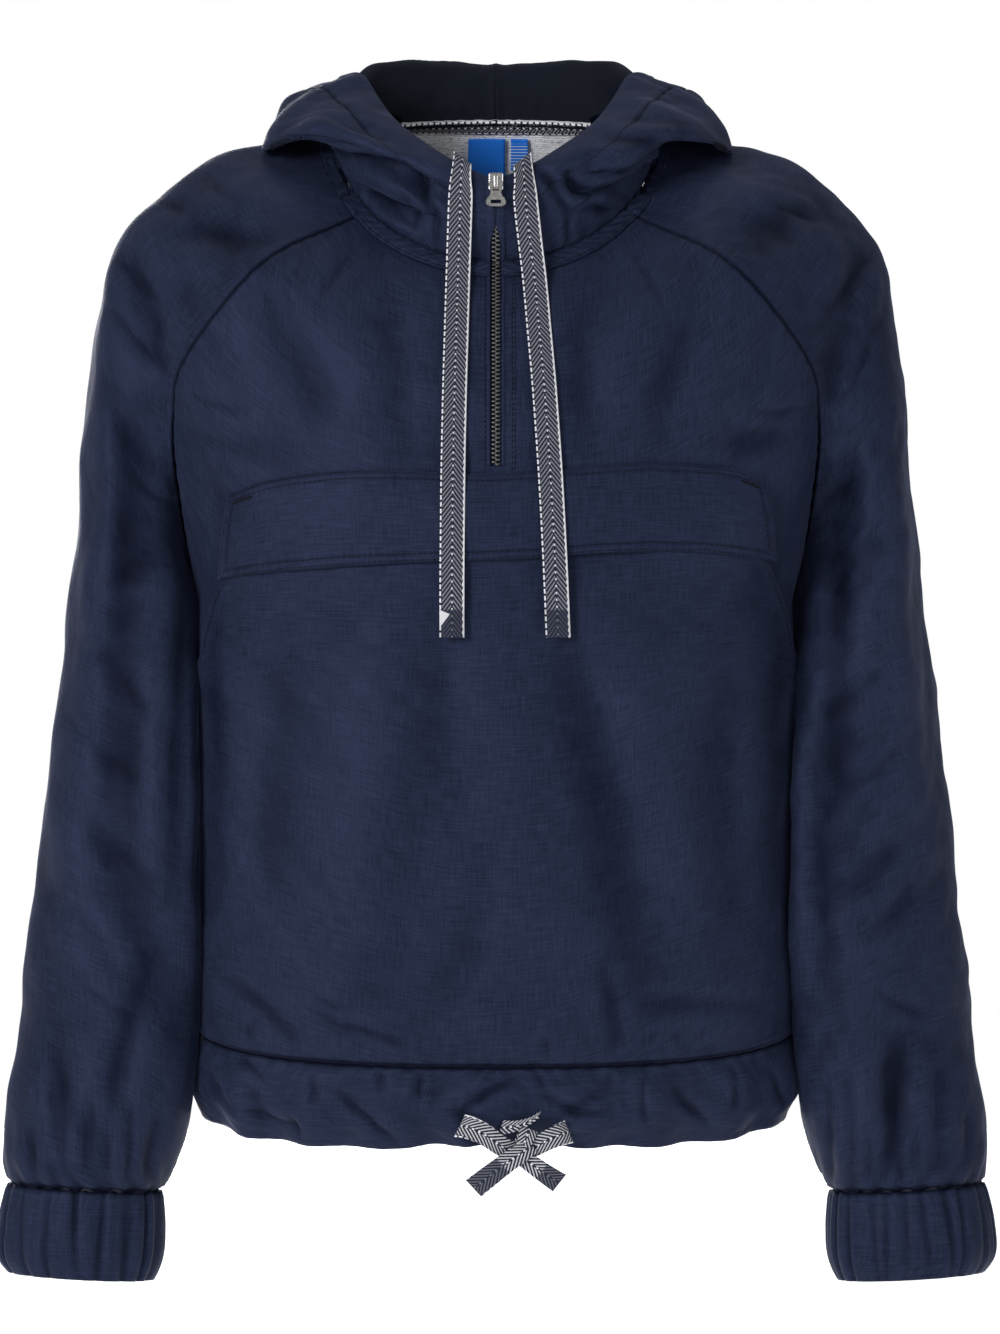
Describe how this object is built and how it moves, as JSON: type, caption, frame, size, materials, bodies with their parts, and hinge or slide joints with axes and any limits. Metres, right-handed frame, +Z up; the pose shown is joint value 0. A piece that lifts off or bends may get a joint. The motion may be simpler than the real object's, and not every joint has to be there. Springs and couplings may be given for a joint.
{
  "type": "hooded pullover",
  "caption": "Woven half-zip pullover, filled out and hollow, with a folded-down hood, raglan sleeves, a flap over a front pocket, gathered cuffs and a drawcord hem.",
  "frame": {"origin": "middle of the neck opening, level with its side points, where the shoulders carry the garment", "axes": "+Z up along the garment's height, -Y the way the front faces, +X the wearer's left"},
  "size_m": [0.594, 0.2936, 0.735],
  "materials": {
    "navy_cloth": "fine slub weave with a soft sheen",
    "grey_melange": "melange jersey",
    "herringbone_tape": "herringbone weave",
    "blue_label": "satin woven label",
    "white_label": "satin woven label",
    "steel": "polished nickel plate"
  },
  "bodies": {
    "garment": {"front": "navy_cloth", "back": "navy_cloth", "left_sleeve": "navy_cloth", "right_sleeve": "navy_cloth", "left_cuff": "navy_cloth", "right_cuff": "navy_cloth", "left_hood": "navy_cloth", "right_hood": "navy_cloth", "hem_band": "navy_cloth", "chest_flap": "navy_cloth", "pocket": "navy_cloth", "neck_band": "navy_cloth", "left_zip_tape": "navy_cloth", "right_zip_tape": "navy_cloth", "zip_teeth": "steel", "zip_slider": "steel", "back_lining": "grey_melange", "neck_tape": "herringbone_tape", "main_label": "blue_label", "size_label": "blue_label", "care_label": "white_label", "left_drawcord": "herringbone_tape", "right_drawcord": "herringbone_tape", "hem_tie_knot": "herringbone_tape", "hem_tie_left_strand": "herringbone_tape", "hem_tie_right_strand": "herringbone_tape", "hem_tie_left_end": "herringbone_tape", "hem_tie_right_end": "herringbone_tape"},
    "pull": {"zip_pull": "steel"}
  },
  "joints": [
    {"name": "zip_pull_hinge", "type": "hinge", "parent": "garment", "child": "pull", "pos_m": [0, -0.08707, -0.031], "axis": [-1, 0, 0], "range_deg": [0, 150]}
  ]
}
